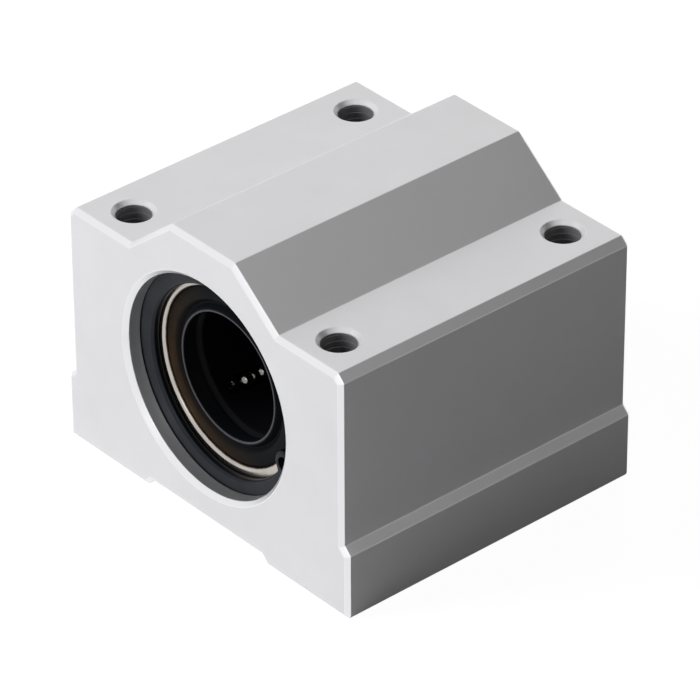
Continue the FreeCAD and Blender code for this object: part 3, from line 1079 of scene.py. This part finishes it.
class BEARING_OT_stage(Operator):
    """Set up the floor, the room, the lamps and the camera"""

    bl_idname = "bearing.stage"
    bl_label = "Stage"

    # The camera as solved from the photograph's edges: its place round the bearing in degrees
    # and metres, the height that it points at, and its lens in millimetres.
    AZIMUTH = math.radians(48.99)
    ELEVATION = math.radians(33.19)
    ROLL = math.radians(-0.26)
    DISTANCE = 0.6303
    TARGET_HEIGHT = 18.52 * MM
    LENS = 278.74
    SENSOR = 36.0
    SHIFT = (0.0027, -0.0387)

    # The floor's side in metres, and how far it lies under the base, to stay clear of it.
    FLOOR_SIDE = 6
    FLOOR_DROP = 0.01 * MM
    # Each lamp's place and size in metres, and the tint of its light.
    KEY_LAMP = ((-0.38, -0.53, 0.47), (0.35, 0.35), (0.955, 0.97, 1.0))
    BACK_LAMP = ((-0.4, 0.56, 0.42), (0.4, 0.3), (1.0, 0.975, 0.96))
    # What the metal mirrors: each card's centre in metres, where it faces and its size.
    LOW_CARD = ((0.1495, 0.1235, 0.0001), (0, 0, 1), (0.25, 0.29))
    HIGH_CARD = ((0.3, 0.45, 0.35), (-0.4, -0.6, -0.6), (0.5, 0.5))
    SOFT_BOX = ((0.44, -0.44, 0.52), (-0.55, 0.55, -0.63), (0.32, 0.32))

    def seen_directly(self, tree):
        """1 for rays that the eye follows, straight, by a gloss or through glass."""
        path = add_node(tree, "ShaderNodeLightPath").outputs
        gloss = add_node(
            tree,
            "ShaderNodeMath",
            {0: path["Is Glossy Ray"], 1: path["Is Transmission Ray"]},
            operation="MAXIMUM",
        ).outputs[0]
        return add_node(
            tree, "ShaderNodeMath", {0: path["Is Camera Ray"], 1: gloss}, operation="MAXIMUM"
        ).outputs[0]

    def room(self, level):
        """White to the eye, and an even soft light on the object."""
        world = bpy.data.worlds.new("room")
        world.use_nodes = True
        tree = world.node_tree
        tree.nodes.clear()
        paper = {"Color": (1.0, 1.0, 1.0, 1.0)}
        white = add_node(tree, "ShaderNodeBackground", {**paper, "Strength": 1.0}).outputs[0]
        dim = add_node(tree, "ShaderNodeBackground", {**paper, "Strength": level}).outputs[0]
        mixed = add_node(
            tree, "ShaderNodeMixShader", {0: self.seen_directly(tree), 1: dim, 2: white}
        ).outputs[0]
        add_node(tree, "ShaderNodeOutputWorld", {"Surface": mixed})
        return world

    def floor(self):
        """A wide floor of matt white board that keeps a faint shadow."""
        material, tree = empty_material("matt white floor")
        matt = add_node(tree, "ShaderNodeBsdfDiffuse", {"Color": linear("#F4F4F4")}).outputs[0]
        # Nine tenths of what the eye sees is an even white. It is a little over 1, to make up
        # for the dimmer tenth that shows the shadow.
        glow = add_node(tree, "ShaderNodeEmission", {"Strength": 1.07}).outputs[0]
        share = add_node(
            tree, "ShaderNodeMath", {0: self.seen_directly(tree), 1: 0.9}, operation="MULTIPLY"
        ).outputs[0]
        mixed = add_node(tree, "ShaderNodeMixShader", {0: share, 1: matt, 2: glow}).outputs[0]
        add_node(tree, "ShaderNodeOutputMaterial", {"Surface": mixed})
        centre = (0, 0, -self.FLOOR_DROP)
        self.panel("floor", material, (centre, (0, 0, 1), (self.FLOOR_SIDE, self.FLOOR_SIDE)))

    def glow(self, name, level):
        """A material that shines evenly, for what the metal mirrors."""
        material, tree = empty_material(name)
        shine = add_node(tree, "ShaderNodeEmission", {"Strength": level}).outputs[0]
        add_node(tree, "ShaderNodeOutputMaterial", {"Surface": shine})
        return material

    def panel(self, name, material, place):
        """A flat rectangle, placed by its centre, where it faces and its size."""
        centre, facing, size = place
        turn = Vector(facing).to_track_quat("Z", "Y").to_matrix()
        across, up = size[0] / 2, size[1] / 2
        spots = [(-across, -up, 0), (across, -up, 0), (across, up, 0), (-across, up, 0)]
        mesh = bpy.data.meshes.new(name)
        corners = [Vector(centre) + turn @ Vector(spot) for spot in spots]
        mesh.from_pydata(corners, [], [(0, 1, 2, 3)])
        panel = piece_from(mesh, material)
        return panel

    def card(self, name, material, place):
        """A panel that only shows as it is mirrored in the metal."""
        card = self.panel(name, material, place)
        card.visible_camera = False
        card.visible_diffuse = False
        card.visible_shadow = False
        card.visible_transmission = False

    def lamp(self, name, power, place):
        """A soft rectangular lamp that points at the bearing and isn't mirrored in it."""
        spot, size, tint = place
        light = bpy.data.lights.new(name, "AREA")
        light.shape = "RECTANGLE"
        light.size, light.size_y = size
        light.color = tint
        light.energy = power
        holder = bpy.data.objects.new(name, light)
        bpy.context.scene.collection.objects.link(holder)
        holder.location = spot
        towards = BEARING_CENTRE - Vector(spot)
        holder.rotation_euler = towards.to_track_quat("-Z", "Y").to_euler()
        holder.visible_glossy = False

    def camera(self):
        """The photograph's own viewpoint, a long lens from the front right."""
        data = bpy.data.cameras.new("camera")
        data.sensor_width = self.SENSOR
        data.lens = self.LENS
        data.shift_x, data.shift_y = self.SHIFT
        data.clip_start, data.clip_end = 0.01, 20.0
        holder = bpy.data.objects.new("camera", data)
        bpy.context.scene.collection.objects.link(holder)
        level = math.cos(self.ELEVATION)
        back = Vector(
            (
                math.sin(self.AZIMUTH) * level,
                -math.cos(self.AZIMUTH) * level,
                math.sin(self.ELEVATION),
            )
        )
        holder.location = Vector((0, 0, self.TARGET_HEIGHT)) + back * self.DISTANCE
        level_view = (-back).to_track_quat("-Z", "Y")
        holder.rotation_euler = (level_view @ Quaternion((0, 0, 1), self.ROLL)).to_euler()
        bpy.context.scene.camera = holder

    def execute(self, context):
        studio = context.scene.bearing_studio
        context.scene.world = self.room(studio.shade_level)
        self.floor()
        self.lamp("key lamp", studio.key_power, self.KEY_LAMP)
        self.lamp("back lamp", studio.back_power, self.BACK_LAMP)
        dark = self.glow("dark card", studio.card_level)
        self.card("low card", dark, self.LOW_CARD)
        self.card("high card", dark, self.HIGH_CARD)
        self.card("soft box", self.glow("soft box cloth", studio.box_level), self.SOFT_BOX)
        self.camera()
        context.scene.view_settings.view_transform = "Standard"
        return {"FINISHED"}


PIECE_OPERATORS = (
    BEARING_OT_housing,
    BEARING_OT_retaining_rings,
    BEARING_OT_sleeve,
    BEARING_OT_cage,
    BEARING_OT_seals,
    BEARING_OT_balls,
    BEARING_OT_threads,
    BEARING_OT_stage,
)


class BEARING_PT_sidebar(Panel):
    """Lists the settings and the pieces of the bearing block."""

    bl_idname = "BEARING_PT_sidebar"
    bl_label = "Bearing Block"
    bl_space_type = "VIEW_3D"
    bl_region_type = "UI"
    bl_category = "Bearing Block"

    def draw(self, context):
        for group in ("bearing_sizes", "bearing_finish", "bearing_studio"):
            settings = getattr(context.scene, group)
            box = self.layout.box()
            for name in settings.bl_rna.properties.keys():
                if name not in {"rna_type", "name"}:
                    box.prop(settings, name)
        for operator in PIECE_OPERATORS:
            self.layout.operator(operator.bl_idname)


CLASSES = (BearingSizes, BearingFinish, BearingStudio, *PIECE_OPERATORS, BEARING_PT_sidebar)


def register():
    """Make the settings, operators and panel known to Blender."""
    for kind in CLASSES:
        bpy.utils.register_class(kind)
    bpy.types.Scene.bearing_sizes = PointerProperty(type=BearingSizes)
    bpy.types.Scene.bearing_finish = PointerProperty(type=BearingFinish)
    bpy.types.Scene.bearing_studio = PointerProperty(type=BearingStudio)


def unregister():
    """Take them out again."""
    del bpy.types.Scene.bearing_studio
    del bpy.types.Scene.bearing_finish
    del bpy.types.Scene.bearing_sizes
    for kind in reversed(CLASSES):
        bpy.utils.unregister_class(kind)


def main():
    """Dress the block and set the stage."""
    register()
    bpy.ops.bearing.housing()
    bpy.ops.bearing.retaining_rings()
    bpy.ops.bearing.sleeve()
    bpy.ops.bearing.cage()
    bpy.ops.bearing.seals()
    bpy.ops.bearing.balls()
    bpy.ops.bearing.threads()
    bpy.ops.bearing.stage()


if __name__ == "__main__":
    main()
